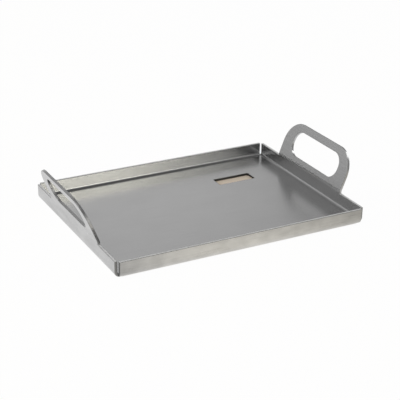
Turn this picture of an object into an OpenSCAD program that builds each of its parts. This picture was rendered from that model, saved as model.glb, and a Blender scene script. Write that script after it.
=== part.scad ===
// Camp griddle plate: a shallow cooking tray folded from one steel sheet, with two leaning
// grip plates butt-welded on its end walls and one drain slot through its floor.
// Millimetres. +X along the length, +Y to the back, +Z up, origin under the tray's centre.

/* [Sheet] */
// Thickness of the steel sheet, for the tray and for both handles
sheet_t = 4; // [2:0.5:5]
// Inside radius of the folds between the floor and the walls
fold_r = 4; // [1:0.5:6]

/* [Tray] */
// Length over the outer faces of the two end walls
tray_l = 400; // [340:5:550]
// Width over the outer faces of the front and back walls
tray_w = 300; // [240:5:420]
// Height of the walls, from the underside to the top edge
wall_h = 24; // [16:0.5:45]
// Open slit at each corner, from a wall's end to the inner face of the wall beside it
corner_slit = 1.4; // [0.5:0.1:4]

/* [Drain slot] */
// Length of the slot, along the tray
drain_l = 63; // [20:1:110]
// Width of the slot, across the tray
drain_w = 23; // [8:0.5:55]
// Corner radius of the slot
drain_r = 1.5; // [0.5:0.5:3.5]
// From the slot's right end to the outer face of the right wall
drain_to_end = 64; // [30:1:140]
// From the slot's back side to the outer face of the back wall
drain_to_back = 65; // [30:0.5:120]

/* [Handles] */
// Width of each handle, along the end wall
handle_w = 176; // [152:1:216]
// Length of the handle's flat part, from its bend to the top edge
handle_rise = 57.5; // [54:0.5:80]
// Radius of the handle's two upper corners
handle_r = 38; // [10:0.5:50]
// How far the handle leans outwards from the upright wall, in degrees
handle_lean = 21.5; // [5:0.5:45]
// Radius of the bend at the foot of the handle, on its outer face
handle_bend_r = 16; // [6:0.5:30]

/* [Hand hole] */
// Length of the hand hole, along the handle
grip_l = 127; // [80:1:136]
// Height of the hand hole, up the handle
grip_h = 40; // [27:0.5:43]
// Corner radius of the hand hole
grip_r = 19; // [4:0.5:19.5]
// Depth of the bar that the hand holds, between the hole and the top edge
grip_bar = 12; // [8:0.5:15]

/* [Hidden] */

$fn = 96;
steel = [0.64, 0.64, 0.65];

// Outside radius of the folds, and how far the walls stop short of the tray's outer corners
fold_outer_r = fold_r + sheet_t;
wall_stop = sheet_t + corner_slit;

// Lower left corner of the drain slot
drain_x = tray_l / 2 - drain_to_end - drain_l;
drain_y = tray_w / 2 - drain_to_back - drain_w;

// A cut reaches this far past both faces of the sheet
cut_past = 1;

// A corner radius takes at most this share of the shorter side that it rounds
round_share = 0.49;

function corner(radius, a, b) = min(radius, round_share * min(a, b));

// Rectangle from its lower left corner, with all four corners rounded
module round_rect(length, height, radius) {
    r = corner(radius, length, height);
    translate([r, 0])
        square([length - 2 * r, height]);
    translate([0, r])
        square([length, height - 2 * r]);
    for (x = [r, length - r], y = [r, height - r])
        translate([x, y])
            circle(r);
}

// Rectangle standing on the middle of its lower side, with its two upper corners rounded
module round_top(length, height, radius) {
    r = corner(radius, length, 2 * height);
    translate([-length / 2, 0])
        square([length, height - r]);
    translate([r - length / 2, 0])
        square([length - 2 * r, height]);
    for (side = [0, 1])
        mirror([side, 0])
            translate([length / 2 - r, height - r])
                intersection() {
                    circle(r);
                    square(r);
                }
}

// Trough run along X, of the given span across Y, with its two lower edges rounded
module trough(span, run, height, radius) {
    rotate([90, 0, 90])
        linear_extrude(run, center = true)
            translate([0, height])
                mirror([0, 1])
                    round_top(span, height, radius);
}

// Block of the tray's plan drawn in by inset on each side, with its four lower edges rounded
module folded_block(inset, height, radius) {
    length = tray_l - 2 * inset;
    width = tray_w - 2 * inset;
    intersection() {
        trough(width, length, height, radius);
        rotate([0, 0, 90])
            trough(length, width, height, radius);
    }
}

// Open corner: the square column between the ends of two walls
module corner_opening() {
    reach = wall_stop + cut_past;
    translate([tray_l / 2 - wall_stop, tray_w / 2 - wall_stop, -cut_past])
        cube([reach, reach, wall_h + 2 * cut_past]);
}

// Cooking tray: a sheet folded up on four sides, with its corners left open, and the drain slot
module griddle_pan() {
    color(steel)
        difference() {
            folded_block(0, wall_h, fold_outer_r);
            translate([0, 0, sheet_t])
                folded_block(sheet_t, wall_h, fold_r);
            for (x = [0, 1], y = [0, 1])
                mirror([x, 0, 0])
                    mirror([0, y, 0])
                        corner_opening();
            translate([drain_x, drain_y, -cut_past])
                linear_extrude(sheet_t + 2 * cut_past)
                    round_rect(drain_l, drain_w, drain_r);
        }
}

// Section through the bend at the foot of a handle, around the bend's centre: the part of a
// ring that lies below the handle's flat part and above the wall edge, which slopes by the lean
module bend_section() {
    outer_r = handle_bend_r + sheet_t;
    reach = outer_r + cut_past;
    intersection() {
        difference() {
            circle(outer_r);
            circle(handle_bend_r);
        }
        translate([-reach, -reach])
            square(reach);
        rotate(handle_lean)
            translate([-reach, 0])
                square(reach);
    }
}

// Flat part of a handle: round-shouldered plate with the hand hole below its grip bar
module grip_outline() {
    difference() {
        round_top(handle_w, handle_rise, handle_r);
        translate([-grip_l / 2, handle_rise - grip_bar - grip_h])
            round_rect(grip_l, grip_h, grip_r);
    }
}

// Handle for the +X end, made upright around the centre of its bend and then leaned outwards,
// which sets the foot of the bend flat on the top edge of the wall
module handle() {
    translate([tray_l / 2 + handle_bend_r, 0, wall_h])
        rotate([0, handle_lean, 0]) {
            rotate([90, 0, 0])
                linear_extrude(handle_w, center = true)
                    bend_section();
            translate([-handle_bend_r - sheet_t, 0, 0])
                rotate([90, 0, 90])
                    linear_extrude(sheet_t)
                        grip_outline();
        }
}

// Handle on the left end wall
module left_handle() {
    color(steel)
        mirror([1, 0, 0])
            handle();
}

// Handle on the right end wall
module right_handle() {
    color(steel)
        handle();
}

griddle_pan();
left_handle();
right_handle();
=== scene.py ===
import bpy
import numpy as np
from mathutils import Matrix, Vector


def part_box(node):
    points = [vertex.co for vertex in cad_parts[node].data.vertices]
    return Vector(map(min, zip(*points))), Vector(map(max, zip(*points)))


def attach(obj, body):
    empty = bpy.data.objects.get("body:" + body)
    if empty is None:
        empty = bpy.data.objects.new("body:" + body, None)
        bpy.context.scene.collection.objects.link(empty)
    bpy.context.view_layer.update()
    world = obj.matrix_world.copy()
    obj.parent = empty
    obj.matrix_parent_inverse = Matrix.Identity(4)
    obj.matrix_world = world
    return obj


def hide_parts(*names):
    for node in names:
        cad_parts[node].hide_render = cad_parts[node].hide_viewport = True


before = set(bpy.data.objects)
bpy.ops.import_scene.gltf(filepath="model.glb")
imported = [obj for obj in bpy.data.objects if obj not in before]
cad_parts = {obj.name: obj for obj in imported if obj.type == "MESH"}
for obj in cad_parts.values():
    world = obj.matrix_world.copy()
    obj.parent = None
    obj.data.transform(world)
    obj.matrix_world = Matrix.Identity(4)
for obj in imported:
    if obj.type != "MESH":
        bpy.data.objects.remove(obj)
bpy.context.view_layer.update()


# Cooking tray: one blank of 4 mm mill-finish steel with square corner notches and a drain slot, cut
# by laser and deburred, then folded up on four sides on a press brake. The walls don't meet, so each
# corner stays open. It is made here the same way: a flat blank with its edges broken, then folded.
pan_low, pan_high = (np.array(corner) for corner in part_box("griddle_pan"))
tray_l, tray_w, wall_h = pan_high - pan_low
sheet_t = 0.004
fold_r = 0.004
corner_slit = 0.0014
deburr = 0.0005
weld_line = 0.00002
handle_w = np.ptp([corner[1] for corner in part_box("right_handle")])
drain_l, drain_w, drain_r = 0.063, 0.023, 0.0015
drain_to_end, drain_to_back = 0.064, 0.065

fold_outer_r = fold_r + sheet_t
fold_length = (fold_r + sheet_t / 2) * np.pi / 2
floor_half = np.array([tray_l, tray_w]) / 2 - fold_outer_r
tip = fold_outer_r - sheet_t - corner_slit
tip_half = floor_half + tip
blank_half = floor_half + fold_length + wall_h - fold_outer_r


def spaced(stops, steps):
    """Grid lines through all the stops, with the given number of equal steps in each gap."""
    runs = [np.linspace(a, b, n, endpoint=False) for a, b, n in zip(stops[:-1], stops[1:], steps)]
    return np.append(np.concatenate(runs), stops[-1])


def folded_tray(blank):
    """Folds the flat blank. At a distance s past the floor's edge, a point at height w above the outer
    face has turned on a circle of radius r = outer radius - w by asin(s / r) up to the walls' tips, and
    from there evenly to a right angle; then it climbs straight. Only the fold that a point lies further
    past turns it, so that the two folds meet on a mitre at the corner and the walls' ends stay square."""
    flat, w = blank[..., :2], blank[..., 2:]
    past = np.abs(flat) - floor_half
    past = np.where(past < past.max(-1, keepdims=True), np.minimum(past, 0), past)
    radius = fold_outer_r - w
    rest = np.clip((past - tip) / (fold_length - tip), 0, 1)
    turn = np.arcsin(np.clip(past, 0, tip) / radius)
    turn = turn + rest * (np.pi / 2 - np.arcsin(tip / radius))
    across = np.where(past > 0, floor_half + radius * np.sin(turn), np.abs(flat))
    lift = radius * (1 - np.cos(turn)) + np.maximum(past - fold_length, 0)
    return np.concatenate([np.sign(flat) * across, w + lift.max(-1, keepdims=True)], -1)


def rim(path, inset, depth):
    """Edge of a sheet as a profile carried along a closed path: a quarter round of the deburring
    from the upper face, the straight cut, and a quarter round to the lower face. path is the
    outline drawn in by inset, an outward vector for each point, and depth is the rounding's height."""
    turns = np.radians([0, 30, 60, 90])
    out = np.concatenate([np.sin(turns), np.sin(turns[::-1])])[:, None]
    drop = 1 - np.cos(turns)
    height = np.concatenate([sheet_t - drop[:, None] * depth, drop[::-1, None] * depth])
    flat = path + out[..., None] * inset
    return np.concatenate([flat, height[..., None]], -1)


def grid_faces(rows, columns, closed=False):
    """Quads of a rows by columns grid of points, joined round in the column direction if closed."""
    index = np.arange(rows * columns).reshape(rows, columns)
    if closed:
        index = np.concatenate([index, index[:, :1]], 1)
    corners = [index[:-1, :-1], index[:-1, 1:], index[1:, 1:], index[1:, :-1]]
    return np.stack(corners, -1)


def sheet_mesh(name, blocks, fold, materials, flip=False):
    """One closed mesh from blocks of (points on the flat blank, quads, material number). The points
    are folded, points that coincide are welded, and the blank's own plan is kept as the UV map."""
    weld_within = 1e-7
    sharp_from = np.radians(50)
    starts = np.cumsum([0] + [block[0].size // 3 for block in blocks])
    blank = np.concatenate([block[0].reshape(-1, 3) for block in blocks])
    quads = np.concatenate([block[1].reshape(-1, 4) + s for block, s in zip(blocks, starts)])
    slots = np.concatenate([np.broadcast_to(block[2], block[1].shape[:-1]).ravel() for block in blocks])
    if flip:
        quads = quads[:, ::-1]
    plan = blank[quads][..., :2]
    folded = fold(blank)
    keys = np.round(folded / weld_within).astype(np.int64)
    used = np.unique(quads)
    _, first, weld = np.unique(keys[used], axis=0, return_index=True, return_inverse=True)
    renumber = np.zeros(len(blank), np.int64)
    renumber[used] = weld.ravel()
    points = folded[used][first]

    mesh = bpy.data.meshes.new(name)
    mesh.from_pydata(points.tolist(), [], renumber[quads].tolist())
    mesh.uv_layers.new(name="sheet").uv.foreach_set("vector", plan.astype(np.float32).ravel())
    for material in materials:
        mesh.materials.append(material)
    mesh.polygons.foreach_set("material_index", slots.astype(np.int32))
    mesh.polygons.foreach_set("use_smooth", np.ones(len(quads), bool))
    mesh.set_sharp_from_angle(angle=sharp_from)
    mesh.validate()

    piece = bpy.data.objects.new(name, mesh)
    bpy.context.collection.objects.link(piece)
    weights = piece.modifiers.new("flat_faces_stay_flat", "WEIGHTED_NORMAL")
    weights.keep_sharp = True
    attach(piece, "root")
    return piece


def rim_slots(count, finish):
    """Material numbers of a rim: its own finish on the straight cut, and the dark tint of the cut on the
    two corners that were broken by the deburring."""
    row, middle = np.arange(count - 1)[:, None], count // 2 - 1
    return np.where(row == middle, finish, cut)


def combine(tree, operation, *values):
    """Maths node in a node tree; each value is a number or another node's output."""
    node = tree.nodes.new("ShaderNodeMath")
    node.operation = operation
    for socket, value in zip(node.inputs, values):
        if isinstance(value, bpy.types.NodeSocket):
            tree.links.new(value, socket)
        else:
            socket.default_value = value
    return node.outputs["Value"]


def ease(tree, value, start, stop, low, high, shape="SMOOTHSTEP"):
    """Step of a node's output between start and stop, from low to high, smooth unless shape is given."""
    node = tree.nodes.new("ShaderNodeMapRange")
    node.interpolation_type = shape
    for name, number in zip(("From Min", "From Max", "To Min", "To Max"), (start, stop, low, high)):
        node.inputs[name].default_value = number
    tree.links.new(value, node.inputs["Value"])
    return node.outputs["Result"]


def steel(name, tones, roughness, patch, grain):
    """Bare steel: grey metal with faint patches, and fine lines that change both its tone and its
    roughness. patch says how many patches lie in a metre along each axis of the part, and grain how many
    lines lie in a metre of the blank, along it and across."""
    material = bpy.data.materials.new(name)
    material.use_nodes = True
    tree = material.node_tree
    shader = tree.nodes["Principled BSDF"]
    shader.inputs["Metallic"].default_value = 1.0
    plan = tree.nodes.new("ShaderNodeUVMap")
    plan.uv_map = "sheet"
    place = tree.nodes.new("ShaderNodeTexCoord").outputs["Object"]

    def noise(at, stretch, detail):
        """Noise over the coordinates at, with so many cells in a metre as stretch says along each axis."""
        mapping = tree.nodes.new("ShaderNodeMapping")
        mapping.inputs["Scale"].default_value = stretch
        tree.links.new(at, mapping.inputs["Vector"])
        texture = tree.nodes.new("ShaderNodeTexNoise")
        texture.inputs["Scale"].default_value = 1.0
        texture.inputs["Detail"].default_value = detail
        tree.links.new(mapping.outputs["Vector"], texture.inputs["Vector"])
        return texture.outputs["Fac"]

    def spread(value, low, high):
        """Noise, which seldom leaves 0.3 to 0.7, stretched evenly from low to high."""
        return ease(tree, value, 0.3, 0.7, low, high, "LINEAR")

    line_tones = 0.95, 1.03
    lines = noise(plan.outputs["UV"], grain + (1,), 2)
    patches = noise(place, patch, 3)
    tone = combine(tree, "MULTIPLY", spread(patches, *tones), spread(lines, *line_tones))
    tree.links.new(tone, shader.inputs["Base Color"])
    tree.links.new(spread(lines, *roughness), shader.inputs["Roughness"])
    return material


finishes = [
    steel("cooking_face", (0.49, 0.51), (0.23, 0.26), (16, 22, 40), (9, 650)),
    steel("outer_face", (0.46, 0.56), (0.27, 0.33), (50, 18, 90), (12, 500)),
    # Wall tops: a ground finish, rough, whose tone is lifted above bare steel as a painted highlight that
    # brightens the top edges.
    steel("ground_edge_painted_highlight", (0.78, 0.84), (0.75, 0.85), (60, 60, 60), (300, 300)),
    steel("grip_edge", (0.44, 0.50), (0.26, 0.32), (60, 60, 60), (300, 300)),
    steel("wall_end", (0.27, 0.33), (0.42, 0.5), (60, 60, 60), (900, 900)),
    # Drain slot's cut face: painted shade, near black and far darker than the other cut faces, stands in
    # for the shade inside the slot.
    steel("slot_edge_painted_shade", (0.05, 0.09), (0.42, 0.5), (60, 60, 60), (900, 900))]
inner, outer, ground_and_painted_highlight, smooth, cut, slot_painted_shade = range(len(finishes))

drain_low = np.array([tray_l / 2 - drain_to_end - drain_l, tray_w / 2 - drain_to_back - drain_w])
drain_high = drain_low + (drain_l, drain_w)
core_low, core_high = drain_low + drain_r, drain_high - drain_r
window_margin = 0.006
window_low, window_high = drain_low - window_margin, drain_high + window_margin


def blank_lines(axis, floor_steps):
    """Grid lines across the blank: wall, fold, floor with the window round the slot, fold, wall."""
    wall_steps, fold_steps, tip_steps, margin_steps, slot_steps = 4, 12, 4, 5, 8
    wall_top, bend = blank_half[axis] - deburr, floor_half[axis] + fold_length
    notch, edge = tip_half[axis] - deburr, floor_half[axis]
    stops = [-wall_top, -bend, -notch, -edge, window_low[axis], core_low[axis], core_high[axis],
             window_high[axis], edge, notch, bend, wall_top]
    down = [wall_steps, fold_steps, tip_steps]
    left, right = floor_steps
    return spaced(stops, down + [left, margin_steps, slot_steps, margin_steps, right] + down[::-1])


lines_u = blank_lines(0, (24, 6))
lines_v = blank_lines(1, (18, 6))
grid_u, grid_v = (a.copy() for a in np.meshgrid(lines_u, lines_v))

# Along the foot of each handle the wall's top edge is left square, because the weld fills it
under_handle = np.abs(lines_v) < handle_w / 2
break_at = np.where(under_handle, weld_line, deburr)
grid_u[:, 0], grid_u[:, -1] = break_at - blank_half[0], blank_half[0] - break_at

middle_u, middle_v = (lines_u[1:] + lines_u[:-1]) / 2, (lines_v[1:] + lines_v[:-1]) / 2
inside_u, inside_v = (np.abs(m) < h - deburr for m, h in zip((middle_u, middle_v), tip_half))
window_u = (middle_u > window_low[0]) & (middle_u < window_high[0])
window_v = (middle_v > window_low[1]) & (middle_v < window_high[1])
kept = (inside_u | inside_v[:, None]) & ~(window_u & window_v[:, None])


def at_height(flat, w):
    """Points of the blank's plan at one height above its outer face."""
    return np.concatenate([flat, np.full(flat.shape[:-1] + (1,), w)], -1)


def both_faces(flat, quads):
    """Upper and lower face of the sheet over the same plan, the lower one turned over."""
    return [(at_height(flat, sheet_t), quads, inner), (at_height(flat, 0), quads[..., ::-1], outer)]


floor_plan = np.stack([grid_u, grid_v], -1)
tray_blocks = both_faces(floor_plan, grid_faces(len(lines_v), len(lines_u))[kept])


def loop_through(lines_a, lines_b, corners):
    """Closed path along grid lines through the corners, each as (u, v) on lines of the grid."""
    runs = []
    for (a0, b0), (a1, b1) in zip(corners, corners[1:] + corners[:1]):
        lines, low, high = (lines_a, a0, a1) if b0 == b1 else (lines_b, b0, b1)
        between = lines[(lines >= min(low, high)) & (lines <= max(low, high))]
        run = between if high > low else between[::-1]
        other = np.full(len(run), b0 if b0 == b1 else a0)
        runs.append(np.stack([run, other] if b0 == b1 else [other, run], -1)[:-1])
    return np.concatenate(runs)


# Outline of the blank, anticlockwise round the four walls and the notches between them
end_u, end_v = lines_u[-1], lines_v[-1]
side_u, side_v = tip_half - deburr
quarter = np.array([(end_u, side_v), (side_u, side_v), (side_u, end_v)])
turned = [quarter, quarter[::-1] * (-1, 1), -quarter, quarter[::-1] * (1, -1)]
outline = loop_through(lines_u, lines_v, np.concatenate(turned).tolist())
along = np.roll(outline, -1, axis=0) - outline
normal = np.stack([along[:, 1], -along[:, 0]], -1) / np.linalg.norm(along, axis=1, keepdims=True)
outward = np.sign(np.round(normal + np.roll(normal, 1, axis=0)))
on_wall_u, on_wall_v = (np.abs(outline) == (end_u, end_v)).T
breaks = np.where(on_wall_u & (np.abs(outline[:, 1]) < handle_w / 2), weld_line, deburr)
outline[:, 0] = np.where(on_wall_u, np.sign(outline[:, 0]) * (blank_half[0] - breaks), outline[:, 0])
wall_rim = rim(outline, outward * breaks[:, None], breaks)
wall_quads = grid_faces(*wall_rim.shape[:2], closed=True)[..., ::-1]
on_top = on_wall_u | on_wall_v
# The walls' top faces take the rough finish with its painted highlight; the rest of the rim is cut.
wall_finish = np.where(on_top & np.roll(on_top, -1), ground_and_painted_highlight, cut)
tray_blocks.append((wall_rim, wall_quads, rim_slots(len(wall_rim), wall_finish)))

# Drain slot: each point of the window is drawn to the nearest point of the slot's round-cornered outline
slot_rings = 4
window = loop_through(lines_u, lines_v, [
    (window_low[0], window_low[1]), (window_high[0], window_low[1]),
    (window_high[0], window_high[1]), (window_low[0], window_high[1])])
core = np.clip(window, core_low, core_high)
away = (window - core) / np.linalg.norm(window - core, axis=1, keepdims=True)
slot_inset = core + (drain_r + deburr) * away
share = np.linspace(0, 1, slot_rings + 1)[:, None, None]
around_slot = window + share * (slot_inset - window)
tray_blocks += both_faces(around_slot, grid_faces(*around_slot.shape[:2], closed=True))
slot_rim = rim(slot_inset, -deburr * away, np.full(len(window), deburr))
slot_quads = grid_faces(*slot_rim.shape[:2], closed=True)
# The slot's straight cut takes that painted shade; its broken corners keep the cut's tint.
tray_blocks.append((slot_rim, slot_quads, rim_slots(len(slot_rim), slot_painted_shade)))

tray = sheet_mesh("tray", tray_blocks, folded_tray, finishes)
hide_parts("griddle_pan")


# Handles: two plates of the same sheet with round shoulders and an oblong hand hole, cut by laser,
# bent outwards at the foot and butt-welded on the top edges of the end walls. The welds are dressed
# flush, so the foot has no broken edge and its faces run on into the wall.
handle_lean = np.radians(21.5)
handle_bend_r = 0.016
handle_rise, handle_r = 0.0575, 0.038
grip_l, grip_h, grip_r, grip_bar = 0.127, 0.040, 0.019, 0.012

bend_length = (handle_bend_r + sheet_t / 2) * handle_lean
hole_top = handle_rise - grip_bar
hole_core_low = np.array([grip_r - grip_l / 2, hole_top - grip_h + grip_r])
hole_core_high = np.array([grip_l / 2 - grip_r, hole_top - grip_r])


def bent_handle(side):
    """Function that bends the flat handle for the end at side * X: below q = 0 the sheet turns back
    to upright on a circle round the bend's centre, above it runs straight at the full lean."""
    def bend(blank):
        p, q, w = blank[..., 0], blank[..., 1], blank[..., 2]
        lean = handle_lean * (1 + np.clip(q, -bend_length, 0) / bend_length)
        radius = handle_bend_r + w
        x = tray_l / 2 + handle_bend_r - radius * np.cos(lean) + np.maximum(q, 0) * np.sin(lean)
        z = wall_h + radius * np.sin(lean) + np.maximum(q, 0) * np.cos(lean)
        return np.stack([side * x, p, z], -1)
    return bend


# The foot is a strip of rows up through the bend, and the grip a ring of rows from the outline to the hole
foot_top = 0.002
bend_steps, foot_steps, foot_columns = 10, 2, 66
side_steps, shoulder_steps, top_steps, grip_rings = 8, 24, 37, 8
columns = np.linspace(deburr - handle_w / 2, handle_w / 2 - deburr, foot_columns + 1)
foot_rows = spaced([weld_line - bend_length, 0, foot_top], [bend_steps, foot_steps])
foot = np.stack(np.meshgrid(columns, foot_rows), -1)

shoulder = np.radians(np.linspace(0, 90, shoulder_steps + 1))[:, None]
shoulder_out = np.concatenate([np.cos(shoulder), np.sin(shoulder)], 1)
shoulder_at = np.array([handle_w / 2 - handle_r, handle_rise - handle_r])
round_right = shoulder_at + (handle_r - deburr) * shoulder_out
side_rows = np.linspace(foot_top, shoulder_at[1], side_steps + 1)[:-1]
side_right = np.stack([np.full(side_steps, handle_w / 2 - deburr), side_rows], -1)
half = np.concatenate([side_right, round_right])
along_top = np.linspace(shoulder_at[0], -shoulder_at[0], top_steps + 1)[1:-1]
top = np.stack([along_top, np.full(len(along_top), handle_rise - deburr)], -1)
arch = np.concatenate([half, top, half[::-1] * (-1, 1)])
grip_outline = np.concatenate([arch, foot[-1, 1:-1]])
hole_core = np.clip(grip_outline, hole_core_low, hole_core_high)
hole_away = (grip_outline - hole_core) / np.linalg.norm(grip_outline - hole_core, axis=1, keepdims=True)
hole_inset = hole_core + (grip_r + deburr) * hole_away
share = np.linspace(0, 1, grip_rings + 1)[:, None, None]
grip = grip_outline + share * (hole_inset - grip_outline)

half_out = np.concatenate([np.tile([[1.0, 0.0]], (side_steps, 1)), shoulder_out])
top_out = np.tile([[0.0, 1.0]], (len(along_top), 1))
arch_out = np.concatenate([half_out, top_out, half_out[::-1] * (-1, 1)])
side_up, side_down = foot[1:-1, -1], foot[-2:0:-1, 0]
handle_edge = np.concatenate([side_up, arch, side_down, foot[0]])
edge_out = np.concatenate([
    np.tile([[deburr, 0]], (len(side_up), 1)),
    arch_out * deburr,
    np.tile([[-deburr, 0]], (len(side_down), 1)),
    np.tile([[0, -weld_line]], (len(columns), 1))])
edge_out[-len(columns), 0], edge_out[-1, 0] = -deburr, deburr
edge_depth = np.full(len(handle_edge), deburr)
edge_depth[-len(columns):] = weld_line

outer_rim = rim(handle_edge, edge_out, edge_depth)
hole_rim = rim(hole_inset, -deburr * hole_away, np.full(len(hole_inset), deburr))
handle_blocks = both_faces(foot, grid_faces(*foot.shape[:2]))
handle_blocks += both_faces(grip, grid_faces(*grip.shape[:2], closed=True))
outer_quads = grid_faces(*outer_rim.shape[:2], closed=True)[..., ::-1]
hole_quads = grid_faces(*hole_rim.shape[:2], closed=True)
handle_blocks.append((outer_rim, outer_quads, rim_slots(len(outer_rim), smooth)))
handle_blocks.append((hole_rim, hole_quads, rim_slots(len(hole_rim), smooth)))

for name, side in (("left_grip", -1), ("right_grip", 1)):
    handle = sheet_mesh(name, handle_blocks, bent_handle(side), finishes, flip=side > 0)
    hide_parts(name.replace("grip", "handle"))


# Studio floor: a wide sheet of plain warm-white paper that the tray lies on. The camera and the steel see
# it as white, by a glow that leaves out the paper under the tray, where it is only lit and holds the
# tray's shadow; only in a strip in front of the tray does the steel see a painted reflection instead.
# The drain slot shows that shaded paper.
floor_reach = 12.0
paper_gap = 0.0002
glow_share = 0.98
shade_inside, shade_outside = -0.008, -0.004
corner = np.array([[-1, -1], [1, -1], [1, 1], [-1, 1]]) * floor_reach
paper = bpy.data.meshes.new("studio_floor")
paper.from_pydata(np.column_stack([corner, np.full(4, -paper_gap)]).tolist(), [], [(0, 1, 2, 3)])
white_paper = bpy.data.materials.new("white_paper")
white_paper.use_nodes = True
tree = white_paper.node_tree
nodes, links = tree.nodes, tree.links
shader = nodes["Principled BSDF"]
shader.inputs["Base Color"].default_value = (0.80, 0.69, 0.57, 1)
shader.inputs["Roughness"].default_value = 1.0
shader.inputs["Specular IOR Level"].default_value = 0.0

# Distance outside the tray's outline, a cross of two rectangles that leaves its open corners free
place = nodes.new("ShaderNodeSeparateXYZ")
links.new(nodes.new("ShaderNodeTexCoord").outputs["Object"], place.inputs["Vector"])
across_x, across_y = (combine(tree, "ABSOLUTE", place.outputs[axis]) for axis in "XY")


def outside_of(half_x, half_y):
    """Distance outside a rectangle round the origin, below zero within it."""
    beyond_x = combine(tree, "SUBTRACT", across_x, half_x)
    beyond_y = combine(tree, "SUBTRACT", across_y, half_y)
    return combine(tree, "MAXIMUM", beyond_x, beyond_y)


end_to_end, front_to_back = outside_of(tray_l / 2, tip_half[1]), outside_of(tip_half[0], tray_w / 2)
outside = combine(tree, "MINIMUM", end_to_end, front_to_back)
rays = nodes.new("ShaderNodeLightPath").outputs
seen = combine(tree, "MAXIMUM", rays["Is Glossy Ray"], rays["Is Transmission Ray"])
seen = combine(tree, "MAXIMUM", seen, rays["Is Camera Ray"])

# Painted reflection: for the steel's mirrored rays only, the paper's glow in a strip in front of the tray
# is tinted warm and falls off towards both of its ends, painting the reflections that the steel shows
# there
mirrored = combine(tree, "SUBTRACT", 1.0, rays["Is Camera Ray"])
painted_reflection_strip = combine(tree, "MULTIPLY", mirrored, ease(tree, place.outputs["Y"], -0.12, -0.17, 0.0, 1.0))
painted_reflection_falloff = combine(tree, "MULTIPLY", ease(tree, place.outputs["X"], -0.215, -0.06, 0.72, 1.06),
                  ease(tree, place.outputs["X"], 0.0, 0.23, 1.0, 0.66))
painted_reflection_falloff = combine(tree, "MULTIPLY", painted_reflection_falloff, ease(tree, place.outputs["Y"], -0.155, -0.205, 1.04, 0.92))
warm = combine(tree, "MULTIPLY", painted_reflection_strip, ease(tree, place.outputs["X"], -0.21, -0.04, 0.55, 1.0))
# Warm colour of the painted reflection.
tint = nodes.new("ShaderNodeMix")
tint.data_type = "RGBA"
tint.inputs["A"].default_value = (1.0, 1.0, 1.0, 1)
tint.inputs["B"].default_value = (1.0, 0.965, 0.88, 1)
links.new(warm, tint.inputs["Factor"])
glow = nodes.new("ShaderNodeEmission")
links.new(tint.outputs["Result"], glow.inputs["Color"])
# Strength of the painted reflection: within the strip the glow takes the falloff, elsewhere 1.
painted_reflection_strength = combine(tree, "MULTIPLY_ADD", painted_reflection_strip, combine(tree, "SUBTRACT", painted_reflection_falloff, 1.0), 1.0)
links.new(painted_reflection_strength, glow.inputs["Strength"])
clear = ease(tree, outside, shade_inside, shade_outside, 0.0, glow_share)
blend = nodes.new("ShaderNodeMixShader")
links.new(combine(tree, "MULTIPLY", seen, clear), blend.inputs["Fac"])
links.new(shader.outputs["BSDF"], blend.inputs[1])
links.new(glow.outputs["Emission"], blend.inputs[2])
links.new(blend.outputs["Shader"], nodes["Material Output"].inputs["Surface"])
paper.materials.append(white_paper)
studio_floor = bpy.data.objects.new("studio_floor", paper)
bpy.context.collection.objects.link(studio_floor)


# Studio light: a soft grey room that darkens towards the ceiling and behind the camera, a warm softbox at
# the front right, a low white card at the front left, and neutral softboxes high on both sides.
room_right = [(0.0, 0.42), (0.2, 0.70), (0.41, 0.83), (0.6, 0.46), (1.0, 0.12)]
room_left = [(0.0, 0.34), (0.06, 0.34), (0.17, 0.86), (0.26, 0.64), (0.41, 0.42), (0.6, 0.34), (1.0, 0.12)]
world = bpy.data.worlds.new("soft_room")
world.use_nodes = True
bpy.context.scene.world = world
tree = world.node_tree
nodes, links = tree.nodes, tree.links
direction = nodes.new("ShaderNodeSeparateXYZ")
links.new(nodes.new("ShaderNodeTexCoord").outputs["Generated"], direction.inputs["Vector"])


def wall_light(levels):
    """Brightness of one side of the room, as a ramp over the height of the direction looked in."""
    ramp = nodes.new("ShaderNodeValToRGB")
    for spot, level in levels[1:-1]:
        ramp.color_ramp.elements.new(spot)
    for element, (spot, level) in zip(ramp.color_ramp.elements, levels):
        element.position = spot
        element.color = (level, level, level, 1)
    links.new(direction.outputs["Z"], ramp.inputs["Fac"])
    return ramp.outputs["Color"]


rightward = ease(tree, direction.outputs["X"], -0.45, 0.45, 0.0, 1.0)
room = nodes.new("ShaderNodeMix")
room.data_type = "RGBA"
links.new(rightward, room.inputs["Factor"])
links.new(wall_light(room_left), room.inputs["A"])
links.new(wall_light(room_right), room.inputs["B"])
links.new(room.outputs["Result"], nodes["Background"].inputs["Color"])

# The room is dimmer at the far right, and behind the camera above the horizon, where all three eases meet
far_right = ease(tree, direction.outputs["X"], 0.40, 0.62, 1.0, 0.50)
behind_lens = combine(tree, "MULTIPLY", ease(tree, direction.outputs["X"], 0.0, -0.35, 0.0, 1.0),
                      ease(tree, direction.outputs["Y"], -0.35, -0.75, 0.0, 1.0))
above = ease(tree, direction.outputs["Z"], 0.12, 0.30, 0.0, 1.0)
behind_lens = ease(tree, combine(tree, "MULTIPLY", behind_lens, above), 0.0, 1.0, 1.0, 0.25)
links.new(combine(tree, "MULTIPLY", far_right, behind_lens), nodes["Background"].inputs["Strength"])

# The camera sees the room itself as plain white, like the paper, beyond the paper's far edge
plain_white = nodes.new("ShaderNodeBackground")
plain_white.inputs["Color"].default_value = (1.0, 1.0, 1.0, 1)
plain_white.inputs["Strength"].default_value = 1.0
backdrop = nodes.new("ShaderNodeMixShader")
links.new(nodes.new("ShaderNodeLightPath").outputs["Is Camera Ray"], backdrop.inputs["Fac"])
links.new(nodes["Background"].outputs["Background"], backdrop.inputs[1])
links.new(plain_white.outputs["Background"], backdrop.inputs[2])
links.new(backdrop.outputs["Shader"], nodes["World Output"].inputs["Surface"])


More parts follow.
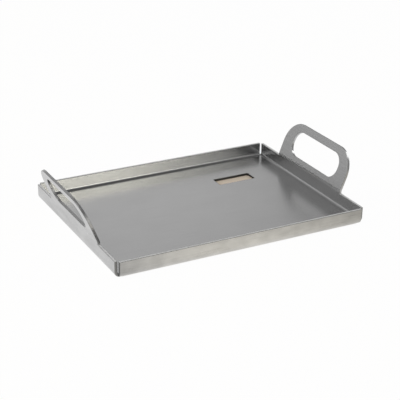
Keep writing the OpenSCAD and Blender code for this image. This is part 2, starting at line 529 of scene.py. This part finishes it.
def softbox(name, place, target, size, radiance, tint):
    """Rectangular area lamp at place, facing target; its power is radiance times area times pi."""
    lamp = bpy.data.lights.new(name, "AREA")
    lamp.shape = "RECTANGLE"
    lamp.size, lamp.size_y = size
    lamp.energy = radiance * size[0] * size[1] * np.pi
    lamp.color = tint
    back = np.subtract(place, target)
    back = back / np.linalg.norm(back)
    right = np.cross((0, 0, 1), back)
    right = right / np.linalg.norm(right)
    pose = np.eye(4)
    pose[:3, :3] = np.stack([right, np.cross(back, right), back], 1)
    pose[:3, 3] = place
    holder = bpy.data.objects.new(name, lamp)
    holder.matrix_world = Matrix(pose.tolist())
    bpy.context.collection.objects.link(holder)


softbox("warm_softbox", (0.55, -1.74, 0.73), (0.0, 0.1, 0.0), (0.64, 0.44), 4.0, (1.0, 0.975, 0.84))
softbox("low_card", (-1.35, -1.45, 0.22), (0.0, 0.0, 0.0), (0.6, 0.36), 2.3, (1.0, 1.0, 1.0))
softbox("right_softbox", (1.5, 0.1, 0.94), (0.0, 0.0, 0.0), (0.7, 0.5), 3.0, (1.0, 1.0, 1.0))
softbox("left_softbox", (-1.3, 0.1, 1.1), (0.0, 0.0, 0.0), (1.4, 1.4), 2.6, (1.0, 1.0, 1.0))


# Camera: a long lens at the front left, a little above the tray, as the photograph was taken.
azimuth, elevation, roll = np.radians([-28.0107, 24.0820, 0.8162])
lens_at = np.array([-0.74715, -1.41275, 0.73116])
view_angle = np.radians(19.5076)

level = np.array([np.cos(azimuth), np.sin(azimuth), 0])
outwards = np.array([np.sin(azimuth), -np.cos(azimuth)]) * np.cos(elevation)
back = np.array([*outwards, np.sin(elevation)])
upright = np.cross(back, level)
pose = np.eye(4)
pose[:3, 0] = np.cos(roll) * level + np.sin(roll) * upright
pose[:3, 1] = np.cos(roll) * upright - np.sin(roll) * level
pose[:3, 2] = back
pose[:3, 3] = lens_at
lens = bpy.data.cameras.new("camera")
lens.angle = view_angle
camera = bpy.data.objects.new("camera", lens)
bpy.context.collection.objects.link(camera)
camera.matrix_world = Matrix(pose.tolist())
bpy.context.scene.camera = camera
bpy.context.scene.view_settings.view_transform = "Standard"
